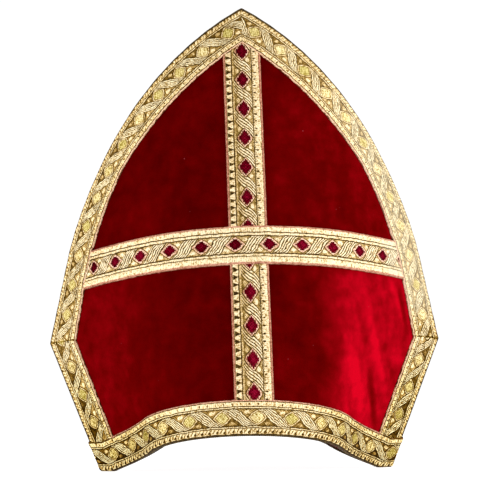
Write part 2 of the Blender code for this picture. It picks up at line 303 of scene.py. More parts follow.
def twist(along, across, style):
    """The slanting bundle of strands between two lozenges: its height, its light, with a painted highlight
    on each strand's crown and painted shade in the gaps, and where it is.
    """
    reach = across / style.field_half
    shift = style.slant * across * (1.0 + style.curve * reach * reach)
    place = wrapped(along - style.period / 2 - shift, style.period)
    beyond = absolute(place) - style.bundle / 2
    pitch = style.bundle / style.strands
    aside = wrapped(place + pitch / 2 * (style.strands % 2 - 1), pitch) / pitch
    crown = (1.0 - 4.0 * aside * aside) * ramp(beyond, 0.05, -0.1)
    return STRAND_HEIGHT * crown, 0.03 + 0.94 * ramp(crown, 0.3, 0.92), ramp(beyond, 0.5, 0.35)


def filler(along, across, style):
    """The corners between lozenges and bundles, each with a light raised dot: its height and light."""
    near_light, far_light, near_dot, far_dot = style.filler
    lean = math.copysign(1.0, style.slant)
    height = 0.0
    # the near side darker than the far side: painted shade
    light = mix(near_light, far_light, ramp(across, -1.0, 1.0)) + 0.14 * wave(along, 1.7) * wave(across, 1.3)
    for side, dot_light in ((-1, near_dot), (1, far_dot)):
        x = wrapped(along - side * lean * FILLER_DOT[0], style.period) / FILLER_DOT_REACH[0]
        y = (across - side * FILLER_DOT[1]) / FILLER_DOT_REACH[1]
        dot = ramp(x * x + y * y, 1.2, 0.5)
        height += DOT_HEIGHT * dot
        light += dot_light * dot
    return height, light


def lozenge_distance(along, across, style, steps):
    """1 on a lozenge's edge, less inside it. Its edge is stepped where steps has a size."""
    near = absolute(wrapped(along, style.period))
    wide = absolute(across)
    if steps:
        near = floor(near / steps + 0.5) * steps
        wide = floor(wide / steps + 0.5) * steps
    near = near / style.lozenge[0]
    wide = wide / style.lozenge[1]
    plump = 0.2 if style.steps else 0.3
    return (1.0 - plump) * (near + wide) + plump * larger(near, wide)


def put_over(layer, height, light, mask):
    layer.height = mix(layer.height, height, mask)
    layer.light = mix(layer.light, light, mask)


def field(along, across, style):
    """The middle of a braid: fillers, then twisted bundles, then lozenges in their rings."""
    layer = Layer(*filler(along, across, style))
    put_over(layer, *twist(along, across, style))
    distance = lozenge_distance(along, across, style, 0.0)
    ring = ramp(distance, style.ring + 0.06, style.ring - 0.06)
    outline = ramp(distance, style.ring + 0.2, style.ring + 0.1)
    put_over(layer, OUTLINE_HEIGHT, style.outline, outline)
    put_over(layer, RING_HEIGHT, 0.95 if style.steps else 0.85, ring)
    stepped = lozenge_distance(along, across, style, style.steps)
    inner = ramp(stepped, 1.05, 0.95)
    near = wrapped(along, style.period)
    cells = wave(near, LOZENGE_CELLS) * wave(across, LOZENGE_CELLS)
    number = floor(along / style.period + 0.5)
    if style.steps:
        swing = style.gem_swing * cosine(number * GEM_TURN + GEM_START)
        # painted_gem_rise adds painted light that grows along the band
        shade = 0.77 - 0.42 * distance + 0.22 * cells + swing + style.painted_gem_rise * along
        put_over(layer, GEM_HEIGHT + GEM_STITCH * cells, shade, inner)
        layer.ruby = inner
        layer.pink = (ring - inner) * 0.7
    else:
        rim = ramp(distance, 1.0, 0.8)
        put_over(layer, 0.1, 0.2, inner)
        put_over(layer, PADDED_HEIGHT - PADDED_FALL * distance * distance, 0.68 + 0.18 * cells, inner * rim)
        paleness = 0.5 + 0.5 * cosine(number * PALE_TURN + PALE_START)
        layer.yellow = inner * rim * (0.85 - 0.5 * paleness)
        layer.light += inner * rim * paleness * 0.15
    return layer


def dots(along, across, line, spacing, half_long, half_wide):
    """A row of small dark dots along a line."""
    x = wrapped(along, spacing) / half_long
    y = (across - line) / half_wide
    return ramp(x * x + y * y, 1.4, 0.5)


def dashes(along, across, low, high, spacing, slant):
    """Slanting stitches, with dark gaps between."""
    gap = absolute(wrapped(along - slant * across, spacing)) / (spacing / 2)
    return ramp(gap, 0.5, 0.8) * within(across, low, high, 0.15)


def notches(along, across, low, high, spacing):
    """Dark wedges, broad at low and pointed at high, between a border's light teeth."""
    reach = (across - low) / (high - low)
    wedge = absolute(wrapped(along, spacing)) / (spacing / 2)
    return ramp(wedge - 0.62 * (1.0 - reach), 0.1, -0.1) * within(reach, 0.03, 0.98, 0.05)


def stripes(across, lines):
    """Painted shade across a braid in the thin grooves along it."""
    dark = 0.0
    for line, width in lines:
        dark = larger(ramp(absolute(across - line), width / 2 + 0.14, width / 2 - 0.14), dark)
    return dark


def darken(layer, mask, light, height):
    layer.light -= light * mask
    layer.height -= height * mask


def plain_borders(layer, along, across, style):
    """The ribbed ground of the borders on both sides of a field."""
    low = style.field_middle - style.field_half
    high = style.field_middle + style.field_half
    outside = 1.0 - within(across, low, high, 0.15)
    ribs = wave(along, THREAD)
    put_over(layer, BORDER_HEIGHT + 0.06 * ribs, style.border_light + 0.1 * ribs, outside)


def gold_borders(layer, along, across, style):
    """Across from the outer edge: slant-stitched border, line, field, line, dotted border, selvedge."""
    stitches = style.outer_stitches
    darken(layer, dashes(along, across, 0.9, 3.5, BORDER_REPEAT / 2, 0.7), stitches, 0.14)
    darken(layer, dots(along, across, 1.3, BORDER_REPEAT, 1.2, 1.0), stitches, 0.1)
    uneven = 0.6 + 0.25 * wave(along, 17.3)
    darken(layer, dots(along, across, 19.5, BORDER_REPEAT, 0.45, 0.9) * uneven, 0.85, 0.2)


def centre_borders(layer, along, across, style):
    """Across from the left: selvedge, toothed border, line, field, line, dotted border, selvedge."""
    darken(layer, notches(along, across, 2.0, 6.0, BORDER_REPEAT), 0.85, 0.25)
    darken(layer, dots(along, across, 21.6, BORDER_REPEAT, 0.55, 0.9), 0.8, 0.15)
    darken(layer, dots(along, across, 20.6, BORDER_REPEAT / 3, 0.6, 0.25), 0.5, 0.05)
    shaded = ramp(across, 14.0, 8.5) * ramp(across, 5.9, 6.5)
    layer.light *= 0.96 - 0.24 * shaded


def cross_borders(layer, along, across, style):
    """Across from the top: selvedge, plain border, lines, field, lines, dashed border, selvedge."""
    darken(layer, dashes(along, across, 21.2, 22.3, BORDER_REPEAT / 4, 0.0), 0.4, 0.08)


def finish_across(layer, along, across, style):
    """Grooves along a braid with painted shade in them, its selvedges of pink thread, and painted shade on
    its turned-down edges.
    """
    grooves = stripes(across, style.grooves)
    layer.height -= GROOVE_DEPTH * grooves
    # painted shade in the grooves
    layer.light *= 1.0 - 0.9 * grooves
    low, high = style.selvedges
    selvedge = 1.0 - within(across, low, style.width - high, 0.12)
    twill = 0.5 + 0.5 * wave(along + across * 2.0, 1.1)
    put_over(layer, 0.05 + 0.1 * twill, style.selvedge_light + 0.4 * twill, selvedge)
    layer.ruby *= 1.0 - selvedge
    layer.pink = larger(layer.pink, selvedge * style.selvedge_pink)
    # painted shade along both edges, where they turn down
    turned_down = ramp(smaller(across, style.width - across), 0.32, 0.05)
    layer.light *= 1.0 - 0.85 * turned_down


def braid_pattern(kind, along, across):
    """The layer of a kind of braid at a place on it."""
    style = STYLES[kind]
    own_borders = {"ruby": centre_borders, "ruby_cross": cross_borders}.get(kind, gold_borders)
    layer = field(along, across - style.field_middle, style)
    for step in (plain_borders, own_borders, finish_across):
        step(layer, along, across, style)
    return layer


# ======== the panel's form, on arrays ========
def root(value):
    return np.sqrt(np.maximum(value, 0.0))


def edge_arc():
    """The x and z of the middle of the arc from a shoulder to the peak."""
    up = PEAK_HEIGHT - SHOULDER_HEIGHT
    chord = math.hypot(SHOULDER_HALF_WIDTH, up)
    to_centre = math.sqrt(ARC_RADIUS**2 - chord**2 / 4)
    centre_x = SHOULDER_HALF_WIDTH / 2 - to_centre * up / chord
    centre_z = (SHOULDER_HEIGHT + PEAK_HEIGHT) / 2 - to_centre * SHOULDER_HALF_WIDTH / chord
    return centre_x, centre_z


ARC_X, ARC_Z = edge_arc()


def half_width(z):
    seam = mix(RIM_HALF_WIDTH, CORNER_HALF_WIDTH, z / CORNER_HEIGHT)
    up = (z - CORNER_HEIGHT) / (SHOULDER_HEIGHT - CORNER_HEIGHT)
    straight = mix(CORNER_HALF_WIDTH, SHOULDER_HALF_WIDTH, up)
    arc = ARC_X + root(ARC_RADIUS**2 - (z - ARC_Z) ** 2)
    return np.where(z < CORNER_HEIGHT, seam, np.where(z < SHOULDER_HEIGHT, straight, np.maximum(arc, 0.0)))


def centre_depth(z):
    return RIM_DEPTH - LEAN * (z - RIM_RISE)


def nose_radius(z):
    share = np.minimum(z / CROWN_START, 1.0)
    return mix(RIM_NOSE_RADIUS, CROWN_RADIUS, np.sin(share * math.pi / 2))


def edge_depth(z):
    cylinder = centre_depth(z) - CROWN_RADIUS + root(CROWN_RADIUS**2 - half_width(z) ** 2)
    parted = SEAM_DEPTH + LEAST_PARTING * (z - CORNER_HEIGHT)
    near = np.maximum(EDGE_BLEND - np.abs(cylinder - parted), 0.0)
    eased = np.maximum(cylinder, parted) + near**2 / (4 * EDGE_BLEND)
    return np.where(z < CORNER_HEIGHT, SEAM_DEPTH, eased)


def section(z):
    """A level section of a panel: its front's depth, its nose's radius, its flare's radius and centre."""
    front = centre_depth(z)
    width = half_width(z)
    fall = np.maximum(front - edge_depth(z), STEP)
    nose = np.minimum(nose_radius(z), (width**2 + fall**2) / (2 * fall))
    flare = FLARE_RADIUS / np.maximum(1 - z / FLARE_HEIGHT, LEAST_FLARE)
    to_edge = np.maximum(np.hypot(width, nose - fall), STEP)
    along = ((nose + flare) ** 2 - flare**2 + to_edge**2) / (2 * to_edge)
    aside = root((nose + flare) ** 2 - along**2)
    flare_x = (along * width - aside * (nose - fall)) / to_edge
    flare_depth = front - nose + (along * (nose - fall) + aside * width) / to_edge
    return front, nose, flare, flare_x, flare_depth


def panel_depth(x, z):
    """Depth of the front panel's outer face in front of the middle plane."""
    across = np.abs(x)
    front, nose, flare, flare_x, flare_depth = section(z)
    on_nose = across <= nose * flare_x / (nose + flare)
    lower = np.where(on_nose, front - nose + root(nose**2 - across**2),
                     flare_depth - root(flare**2 - (across - flare_x) ** 2))
    return np.where(z >= CROWN_START, front - CROWN_RADIUS + root(CROWN_RADIUS**2 - across**2), lower)


def normals(x, z):
    along_x = (panel_depth(x + STEP, z) - panel_depth(x - STEP, z)) / (2 * STEP)
    along_z = (panel_depth(x, z + STEP) - panel_depth(x, z - STEP)) / (2 * STEP)
    size = np.sqrt(1 + along_x**2 + along_z**2)
    return np.stack([-along_x / size, -1 / size, -along_z / size], axis=-1)


def on_panel(x, z, lift):
    points = np.stack([x, -panel_depth(x, z), z], axis=-1)
    return points + normals(x, z) * np.asarray(lift)[..., None]


def rim_height(x):
    height = np.zeros_like(x)
    for _ in range(12):
        share = (panel_depth(x, height) - FOOT_DEPTH) / (RIM_DEPTH - FOOT_DEPTH)
        height = RIM_RISE * np.clip(share, 0.0, 1.0) ** RIM_CURVE
    return height


def free_edge(share):
    straight = math.hypot(CORNER_HALF_WIDTH - SHOULDER_HALF_WIDTH, SHOULDER_HEIGHT - CORNER_HEIGHT)
    start = math.atan2(SHOULDER_HEIGHT - ARC_Z, SHOULDER_HALF_WIDTH - ARC_X)
    end = math.atan2(PEAK_HEIGHT - ARC_Z, -ARC_X)
    run = share * (straight + ARC_RADIUS * (end - start))
    part = run / straight
    angle = start + (run - straight) / ARC_RADIUS
    low = run < straight
    x = np.where(low, mix(CORNER_HALF_WIDTH, SHOULDER_HALF_WIDTH, part), ARC_X + ARC_RADIUS * np.cos(angle))
    z = np.where(low, mix(CORNER_HEIGHT, SHOULDER_HEIGHT, part), ARC_Z + ARC_RADIUS * np.sin(angle))
    return x, z


def side_seam(share):
    return mix(RIM_HALF_WIDTH, CORNER_HALF_WIDTH, share), CORNER_HEIGHT * share


def offset(edge, share, width):
    """The points of an edge moved in over the panel, by a width measured on the panel."""
    x, z = edge(share)
    before_x, before_z = edge(np.maximum(share - SHARE_STEP, 0.0))
    after_x, after_z = edge(np.minimum(share + SHARE_STEP, 1.0))
    run = np.hypot(after_x - before_x, after_z - before_z)
    in_x = -(after_z - before_z) / run
    in_z = (after_x - before_x) / run
    normal = normals(x + in_x * width / 2, np.minimum(z + in_z * width / 2, PEAK_HEIGHT - STEP))
    slope = (normal[..., 0] * in_x + normal[..., 2] * in_z) / normal[..., 1]
    across = np.sqrt(1 + slope**2)
    return x + in_x * width / across, z + in_z * width / across


def first_share(edge, width, measure):
    """The share of an edge at which the measure of its offset point turns positive."""
    values = measure(*offset(edge, SHARES, width))
    index = int(np.argmax(values > 0))
    if index == 0:
        return 0.0 if values[0] > 0 else 1.0
    before, after = values[index - 1], values[index]
    return float(SHARES[index - 1] + (SHARES[index] - SHARES[index - 1]) * before / (before - after))


def mitre_height(x):
    return CORNER_HEIGHT + (CORNER_HALF_WIDTH - x) * math.tan(MITRE_RISE)


def rim_band_line(share, z):
    """The x, at a height, of the line up the rim band from a share of the rim's half width."""
    height = z - rim_height(share * RIM_HALF_WIDTH)
    return share * mix(RIM_HALF_WIDTH, CORNER_HALF_WIDTH, height / CORNER_HEIGHT)


def rim_band_edges(share):
    """Heights of the rim band's lower and upper edges, at a share of the rim's half width."""
    bottom = rim_height(share * RIM_HALF_WIDTH) + EDGE_MARGIN
    middle = bottom + GOLD_BRAID_WIDTH / 2
    low_x = rim_band_line(share * INSIDE, middle - STEP)
    high_x = rim_band_line(share * INSIDE, middle + STEP)
    out = (high_x - low_x) / (2 * STEP)
    forward = (panel_depth(high_x, middle + STEP) - panel_depth(low_x, middle - STEP)) / (2 * STEP)
    return bottom, bottom + GOLD_BRAID_WIDTH / np.sqrt(1 + out**2 + forward**2)


def over_rim_band(x, z):
    """How far a place on the panel lies above the rim band."""
    share = np.ones_like(x)
    for _ in range(6):
        share = np.minimum(np.abs(x) / rim_band_line(share, z) * share, 1.0)
    return z - rim_band_edges(share)[1]


def cross_line(x, side):
    """Height of a line along the cross band: side -1 is its lower edge, 1 its upper edge."""
    fall = CROWN_RADIUS - root(CROWN_RADIUS**2 - x**2)
    half = CROSS_BAND_WIDTH / 2 / math.sqrt(1 + LEAN**2)
    return CROSS_HEIGHT + x * math.tan(CROSS_TURN) - CROSS_DROP * fall + side * half


def centre_band_x(across, z):
    """The centre band leans as the cross of bands is turned. Across is in metres from its left edge."""
    return CENTRE_SHIFT + across - CENTRE_BAND_WIDTH / 2 - (z - CROSS_HEIGHT) * math.tan(CROSS_TURN)


# ======== meshes ========
def grid_mesh(points):
    """A mesh over a grid of points, an array of rows by columns by 3."""
    rows, columns = points.shape[:2]
    mesh = bpy.data.meshes.new("surface")
    shape = bmesh.new()
    bmesh.ops.create_grid(shape, x_segments=columns - 1, y_segments=rows - 1, size=0.5)
    shape.to_mesh(mesh)
    shape.free()
    mesh.vertices.foreach_set("co", points.reshape(-1).astype(np.float32))
    mesh.shade_smooth()
    mesh.update()
    return mesh


def keep(mesh, name, *parts):
    """Stores three numbers for each point of a mesh, for its material to read."""
    stored = mesh.attributes.new(name, "FLOAT_VECTOR", "POINT")
    values = np.stack(np.broadcast_arrays(*parts), axis=-1)
    stored.data.foreach_set("vector", values.reshape(-1).astype(np.float32))


def bump_over(value, half, run):
    """1 within half of 0, falling to 0 over a run."""
    return ramp(np.abs(value), half + run, half)


# ---- braids ----
# lengths in millimetres
FINE = 0.45  # between a braid's points
EDGE_DROP = 0.25  # how far a braid's edges turn down
EDGE_ROUNDING = 1.1  # how far in they are rounded
PATTERN_INSET = 0.5  # how far in the pattern has its full height
RIM_RIDES = (16.0, 20.0)  # where across the rim band it starts to rise over others' ends, and is full
EDGE_RIDES = (15.0, 20.0)  # the same for the edge braids
RIM_SEAM = (21.2, 21.8)  # where across the rim band the painted shadow of its seam to the side braids starts, and is full
MITRE_SEAM = (1.1, 0.4)  # how near a braid's mitred end the painted shadow of its seam starts, and is full
# Where a lozenge lies along a braid, and how far apart they are.
RIM_PLACING = (6.42, 22.93)
CROSS_PLACING = (-6.57, 22.91)
CENTRE_PLACINGS = {"upper": (140.86, 21.43), "lower": (148.2, 22.64)}
EDGE_PLACINGS = {"left": (1.2, 21.8), "right": (20.0, 22.2)}
SIDE_PLACINGS = {"left": (77.3, 21.5), "right": (79.4, 21.1)}
# lengths in metres
RISE_RUN = 0.003  # how far a braid takes to rise over another
RISE_RUN_AT_CROSS = 0.002
SIDES_UNDER = (0.022, 0.015)  # how near a seam the rim band starts to rise on the side braid, and is full
NEAR_EDGE = (0.035, 0.025)  # how near a free edge its painted shade on the left and painted highlight on the right start, and are full
RIM_END = 0.00002  # of rim left free at each seam
# plain numbers
RIM_COLUMNS = 640
SEAM_SHADOW_LEVEL = 2.0  # the level of painted shading that stands for a seam's shadow


def painted_thread_shading(x, z):
    """Painted shading of a braid's thread: above 0 painted shade, darker and browner, low at the rim's sides
    (most on the left) and on the upper left edge; 0 is plain; below 0 a painted highlight high on the right
    side and upper right edge.
    """
    low = 0.8 * ramp(z, 0.1, 0.03) * ramp(np.abs(x), 0.03, 0.08)
    low_left = 0.2 * ramp(z, 0.045, 0.025) * ramp(x, -0.04, -0.075)
    left_edge_shade = 0.12 * ramp(half_width(z) + x, *NEAR_EDGE)
    painted_highlight = 0.15 * ramp(x, 0.04, 0.1) + 0.15 * ramp(half_width(z) - x, *NEAR_EDGE)
    return low + low_left + ramp(z, 0.09, 0.12) * (left_edge_shade - painted_highlight)


def braid_mesh(kind, x, z, along, across, over=0.0, seam=0.0):
    """A raised braid over the panel at (x, z). over is how much higher it rides over what it crosses, and
    seam is 1 where it is sewn to another braid's end."""
    layer = braid_pattern(kind, along, across)
    wobble = 0.05 * np.sin(along / 7.3 + across / 5.1) + 0.04 * np.sin(along / 2.9 - across / 3.7)
    from_edge = np.minimum(across, STYLES[kind].width - across)
    body = BRAID_BODY / MM * (1 - (1 - np.clip(from_edge / EDGE_ROUNDING, 0, 1)) ** 2)
    turned_down = EDGE_DROP * (from_edge < 0.01)
    height = body - turned_down + (layer.height + wobble) * np.clip(from_edge / PATTERN_INSET, 0, 1)
    mesh = grid_mesh(on_panel(x, z, BRAID_LIFT + over + height * MM))
    # The third part is the thread's painted shading: painted shade low at the sides and a painted shadow
    # along seams, painted highlight high on the right.
    keep(mesh, "braid_place", along, across, mix(painted_thread_shading(x, z), SEAM_SHADOW_LEVEL, seam))
    return mesh


def spaced(length):
    """How many points a length in metres takes."""
    return max(int(round(length / MM / FINE)), 4) + 1


def across_places(style):
    """Places across a braid, in millimetres."""
    return np.linspace(0.0, style.width, spaced(style.width * MM))


def repeated(run, placing, style):
    """The place in the pattern after a run in millimetres, from where a lozenge lies and their spacing."""
    phase, pitch = placing
    return (run - phase) * style.period / pitch


def lengths(points):
    """How far along a line each of its points lies, in millimetres."""
    return np.concatenate([[0.0], np.cumsum(np.linalg.norm(np.diff(points, axis=0), axis=1))]) / MM


def rim_band():
    across = across_places(GOLD)[:, None]
    share = np.linspace(-1.0, 1.0, RIM_COLUMNS) * (1 - RIM_END / RIM_HALF_WIDTH)
    bottom, top = rim_band_edges(share)
    z = mix(bottom, top, across / GOLD.width)
    x = rim_band_line(share, z)
    middle = (bottom + top) / 2
    run = lengths(on_panel(rim_band_line(share, middle), middle, 0.0 * share))
    along = repeated(run - run[-1] / 2, RIM_PLACING, GOLD)
    on_centre = bump_over(x - centre_band_x(CENTRE_BAND_WIDTH / 2, z), CENTRE_BAND_WIDTH / 2, RISE_RUN)
    on_sides = ramp(half_width(z) - np.abs(x), *SIDES_UNDER)
    over = RIDE * np.maximum(on_centre, on_sides) * ramp(across, *RIM_RIDES)
    # painted shadow along the seam to the side braids
    seam = on_sides * ramp(across, *RIM_SEAM)
    return braid_mesh("gold", x, z, *np.broadcast_arrays(along, across + 0.0 * x), over, seam)


def past_mitre(x, z):
    return z - mitre_height(x)


def past_middle(x, z):
    return 1e-6 - x


def past_rim_band(x, z):
    return over_rim_band(x, z) + OVERLAP


def edge_braid(edge, start, end, mirror, placing):
    """The braid along an edge. start and end measure how far a place is past the braid's two ends, and
    mirror is -1 on the left and 1 on the right."""
    across = across_places(GOLD)
    starts = np.array([first_share(edge, EDGE_MARGIN + far * MM, start) for far in across])[:, None]
    ends = np.array([first_share(edge, EDGE_MARGIN + far * MM, end) for far in across])[:, None]
    middle_x, middle_z = offset(edge, SHARES, EDGE_MARGIN + GOLD_BRAID_WIDTH / 2)
    length = lengths(on_panel(middle_x, np.minimum(middle_z, PEAK_HEIGHT - STEP), 0.0 * middle_x))
    v = np.linspace(0.0, 1.0, spaced(length[-1] * MM))
    near_start = np.maximum(1 - v / MITRE_RUN, 0.0)
    near_end = np.maximum(1 - (1 - v) / MITRE_RUN, 0.0)
    share = mix(starts[0], ends[0], v)
    share = share + (starts - starts[0]) * near_start + (ends - ends[0]) * near_end
    far = np.broadcast_to(across[:, None], share.shape)
    x, z = offset(edge, share, EDGE_MARGIN + far * MM)
    x = np.maximum(x, 0.0)
    along = mirror * repeated(np.interp(share, SHARES, length), placing, GOLD)
    over = 0.0 * x
    if edge is free_edge:
        on_cross = bump_over(z - cross_line(mirror * x, 0), CROSS_BAND_WIDTH / 2, RISE_RUN_AT_CROSS)
        on_centre = bump_over(x, CENTRE_BAND_WIDTH / 2, RISE_RUN)
        over = RIDE * np.maximum(on_cross, on_centre) * ramp(far, *EDGE_RIDES)
    from_corner = v if edge is free_edge else 1 - v
    # painted shadow along the mitre seam
    seam = 0.0 * x + 0.8 * ramp(from_corner * length[-1], *MITRE_SEAM)
    if mirror > 0:
        x, z, along, far, over, seam = (part[::-1] for part in (x, z, along, far, over, seam))
    kind = "gold_edge" if edge is free_edge else "gold_side"
    return braid_mesh(kind, mirror * x, z, along, far, over, seam)


def centre_band(level):
    """The centre band below or above the cross band."""
    across = across_places(RUBY)
    if level == "lower":
        low, high = behind_rim_band(across * MM), behind_cross_band(across * MM, -1)
    else:
        low, high = behind_cross_band(across * MM, 1), behind_peak_braids(across * MM)
    v = np.linspace(0.0, 1.0, spaced(float(np.max(high - low))))[:, None]
    z = mix(low, high, v)
    far = np.broadcast_to(across, z.shape)
    run = (z - CROSS_HEIGHT) / MM * math.sqrt(1 + LEAN**2)
    along = -repeated(run, CENTRE_PLACINGS[level], RUBY)
    return braid_mesh("ruby", centre_band_x(far * MM, z), z, along, far)


def inner_edge():
    """The inner edge of a free edge's braid, and a little under it."""
    return offset(free_edge, SHARES, EDGE_MARGIN + GOLD_BRAID_WIDTH - OVERLAP)


def inner_half_width(z):
    edge_x, edge_z = inner_edge()
    return np.interp(z, edge_z, edge_x)


def cross_end(side, line):
    """The x of the cross band's left (-1) or right (1) end, on some of its lines."""
    reach = side * inner_half_width(CROSS_HEIGHT + 0.0 * line)
    for _ in range(3):
        reach = side * inner_half_width(cross_line(reach, line))
    return reach


def behind_cross_band(across, side):
    return cross_line(centre_band_x(across, CROSS_HEIGHT), side) - side * OVERLAP


def behind_rim_band(across):
    level = RIM_RISE + GOLD_BRAID_WIDTH
    return level - over_rim_band(centre_band_x(across, level), level + 0.0 * across) - OVERLAP


def behind_peak_braids(across):
    edge_x, edge_z = inner_edge()
    order = np.argsort(edge_x)
    top = PEAK_HEIGHT - GOLD_BRAID_WIDTH + 0.0 * across
    for _ in range(4):
        top = np.interp(np.abs(centre_band_x(across, top)), edge_x[order], edge_z[order])
    return top


def cross_band():
    across = across_places(RUBY_CROSS)[:, None]
    line = 1 - 2 * across / RUBY_CROSS.width
    columns = np.linspace(0.0, 1.0, spaced(2 * SHOULDER_HALF_WIDTH))
    x = mix(cross_end(-1, line), cross_end(1, line), columns)
    z = cross_line(x, line)
    along = repeated(np.arcsin(x / CROWN_RADIUS) * CROWN_RADIUS / MM, CROSS_PLACING, RUBY_CROSS)
    middle = centre_band_x(CENTRE_BAND_WIDTH / 2, CROSS_HEIGHT)
    over = BRAID_BODY * bump_over(x - middle, CENTRE_BAND_WIDTH / 2 - 0.001, RISE_RUN)
    far = np.broadcast_to(across, z.shape)
    x, z, along, far, over = (part[::-1] for part in (x, z, along, far, over))
    return braid_mesh("ruby_cross", x, z, along, far, over)


def front_braids():
    """Every braid mesh of the front, by its piece's name, with its kind."""
    made = {"rim_band": (rim_band(), "gold"), "cross_band": (cross_band(), "ruby_cross")}
    for level in ("lower", "upper"):
        made[f"centre_band_{level}"] = (centre_band(level), "ruby")
    for side, mirror in (("left", -1), ("right", 1)):
        edge = edge_braid(free_edge, past_mitre, past_middle, mirror, EDGE_PLACINGS[side])
        seam = edge_braid(side_seam, past_rim_band, past_mitre, mirror, SIDE_PLACINGS[side])
        made[f"edge_braid_{side}"] = (edge, "gold_edge")
        made[f"side_braid_{side}"] = (seam, "gold_side")
    return made


# ---- velvet panel ----
PANEL_COLUMNS = 130
SEAM_ROWS = 44
EDGE_ROWS = 96
PEAK_BLUNTNESS = 0.0008  # half the width of a panel's very top
FOLDED = (0.018, 0.03)  # how far inside a panel's edge its folds start, and are full
BELOW_CROSS = (0.15, 0.13)  # the heights between which the velvet passes behind the cross band


@dataclass(frozen=True)
class Fold:
    """A fold in the velvet, with lengths in metres."""

    x: float
    z: float
    slant: float  # how x changes as z grows
    half_width: float
    half_length: float
    # painted light along its line: above 0 a painted highlight, below 0 painted shade
    light: float
    height: float


# the folds low on the right
FOLDS = (
    Fold(0.0914, 0.0857, -0.22, 0.0055, 0.0480, 0.32, 0.0007),
    Fold(0.0755, 0.0617, -0.17, 0.0088, 0.0412, 0.27, 0.0006),
    Fold(0.1089, 0.1190, -0.32, 0.0040, 0.0190, 0.22, 0.0003),
    Fold(0.1139, 0.1121, -0.20, 0.0028, 0.0213, -0.30, -0.0004),
    Fold(0.0892, 0.0505, -0.12, 0.0040, 0.0330, -0.42, -0.0004),
    Fold(0.0807, 0.0999, -0.21, 0.0035, 0.0258, -0.14, -0.0003),
    Fold(0.1050, 0.0675, -0.31, 0.0040, 0.0238, -0.14, -0.0003),
)


def near_fold(x, z, fold):
    """1 on the line of a fold, fading to 0 at its sides and ends."""
    aside = absolute(x - fold.x - fold.slant * (z - fold.z)) / fold.half_width
    beyond = absolute(z - fold.z) / fold.half_length
    return ramp(aside, 1.0, 0.0) * ramp(beyond, 1.0, 0.2)


def velvet_folds(x, z):
    """The height of the velvet's folds and broad dents, in metres."""
    broad = 0.0002 * np.sin(x * 41 + z * 13) * np.sin(z * 37 + 1.3)
    return broad + sum(fold.height * near_fold(x, z, fold) for fold in FOLDS)


def painted_velvet_light(x, z):
    """Painted light on the velvet: lighter to the right and low down, and lighter or darker along each fold
    as painted highlight and painted shade.
    """
    low = ramp(z, *BELOW_CROSS)
    light = 0.21 * ramp(x, -0.03, 0.1) + low * (0.41 * ramp(x, 0.045, 0.072) + 0.2 * ramp(x, -0.05, -0.1))
    for fold in FOLDS:
        light += fold.light * near_fold(x, z, fold)
    return light


def panel_points():
    seam = side_seam(np.linspace(0.0, 1.0, SEAM_ROWS + 1))
    free = free_edge(np.linspace(0.0, 1.0, EDGE_ROWS + 1)[1:])
    edge_x, edge_z = (np.concatenate(parts)[:, None] for parts in zip(seam, free))
    share = np.linspace(-1.0, 1.0, PANEL_COLUMNS + 1)
    rise = rim_height(share * RIM_HALF_WIDTH) * (1 - edge_z / PEAK_HEIGHT)
    x = np.maximum(edge_x, PEAK_BLUNTNESS) * share
    return x, np.minimum(edge_z + rise, PEAK_HEIGHT - STEP)


def velvet_mesh():
    x, z = panel_points()
    inside = np.minimum(half_width(z) - np.abs(x), z - rim_height(x))
    mesh = grid_mesh(on_panel(x, z, velvet_folds(x, z) * ramp(inside, *FOLDED)))
    keep(mesh, "cloth_place", x, z, 0.0)
    return mesh


# ---- edge binding ----
BINDING_THICKNESS = 0.0028
EDGE_BINDING_WIDTH = 0.0024
RIM_BINDING_WIDTH = 0.0022
EDGE_BINDING_INSET = 0.0004  # from the panel's edge to the binding's middle
RIM_BINDING_INSET = 0.0006
BINDING_RISE = 0.0001  # of the binding's middle over the middle of the wall
JUST_INSIDE = 0.995  # the share of the way to the edge at which the panel's slope is taken
LEAST_HEIGHT = 0.0001  # of the binding over the floor
BINDING_SIDES = 12
WHIPPING = 0.0013  # the spacing of the binding's stitches
WHIPPED = 0.06  # how much they swell it
OUTLINE_POINTS = 240  # along each seam and each free edge
SEWN_HEIGHTS = (0.106, 0.1)  # above the first the two panels' bindings are apart, below the second sewn
SEWN_FOOT = 0.002  # how near its feet the rim's binding is sewn
SEWN_OVERLAP = 0.00005


def panel_outline():
    """The x and z of a panel's outline, from its right foot over the peak to the left one and back along the
    rim, and whether each point is on a seam or free edge."""
    share = np.linspace(0.0, 1.0, OUTLINE_POINTS)
    right_x, right_z = (np.concatenate(parts) for parts in zip(side_seam(share[:-1]), free_edge(share)))
    rim_x = np.linspace(-1.0, 1.0, 2 * OUTLINE_POINTS)[1:-1] * RIM_HALF_WIDTH
    x = np.concatenate([right_x, -right_x[::-1][1:], rim_x])
    z = np.concatenate([right_z, right_z[::-1][1:], rim_height(rim_x)])
    return x, np.minimum(z, PEAK_HEIGHT - STEP), np.arange(len(x)) < len(x) - len(rim_x)


def unit(vectors):
    return vectors / np.linalg.norm(vectors, axis=1)[:, None]


def sew_together(rings, x, z, on_edge):
    """Stretches the binding in to the middle plane along the side seams, where the panels' bindings meet."""
    at_foot = ramp(np.abs(x), RIM_HALF_WIDTH - SEWN_FOOT, RIM_HALF_WIDTH)
    sewn = np.where(on_edge, ramp(z, *SEWN_HEIGHTS), at_foot)
    outer = rings[..., 1].min(axis=1)
    inner = rings[..., 1].max(axis=1)
    stretch = sewn * (SEWN_OVERLAP - inner) / (inner - outer)
    rings[..., 1] += stretch[:, None] * (rings[..., 1] - outer[:, None])


